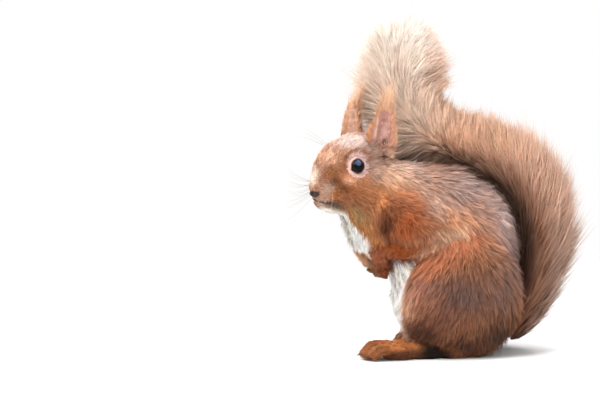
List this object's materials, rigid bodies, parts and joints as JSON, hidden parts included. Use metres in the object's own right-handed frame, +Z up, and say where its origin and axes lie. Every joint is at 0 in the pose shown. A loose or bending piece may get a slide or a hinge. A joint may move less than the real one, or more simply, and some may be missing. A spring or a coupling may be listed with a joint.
{
  "type": "red squirrel model",
  "caption": "Life-size still model of a red squirrel sitting up on its haunches, hands at its chest and bushy tail raised along its back.",
  "frame": {"origin": "bottom centre of the bounding box of the whole squirrel, on the floor it sits on", "axes": "+Z up; -Y is where the body faces and +Y is where the tail's back lies; +X is the squirrel's left, to which its head is turned"},
  "size_m": [0.089, 0.1614, 0.1942],
  "materials": {
    "coat": "short soft fur, rust red and grey brown, white below",
    "tail_fur": "long pale reddish hair",
    "ear_fur": "thin fur over pinkish skin, with a tuft at the tip",
    "foot_fur": "very short bright orange fur, dark claws",
    "eye": "polished, almost black"
  },
  "bodies": {
    "root": {"head": "coat", "neck": "coat", "trunk": "coat", "eye_left": "eye", "eye_right": "eye", "ear_left": "ear_fur", "ear_right": "ear_fur", "thigh_left": "coat", "thigh_right": "coat", "foot_left": "foot_fur", "foot_right": "foot_fur", "upper_arm_left": "coat", "upper_arm_right": "coat", "forearm_left": "coat", "forearm_right": "coat", "hand_left": "foot_fur", "hand_right": "foot_fur", "tail_root": "tail_fur", "tail_lower": "tail_fur", "tail_middle": "tail_fur", "tail_upper": "tail_fur", "tail_tip": "tail_fur"}
  },
  "joints": []
}
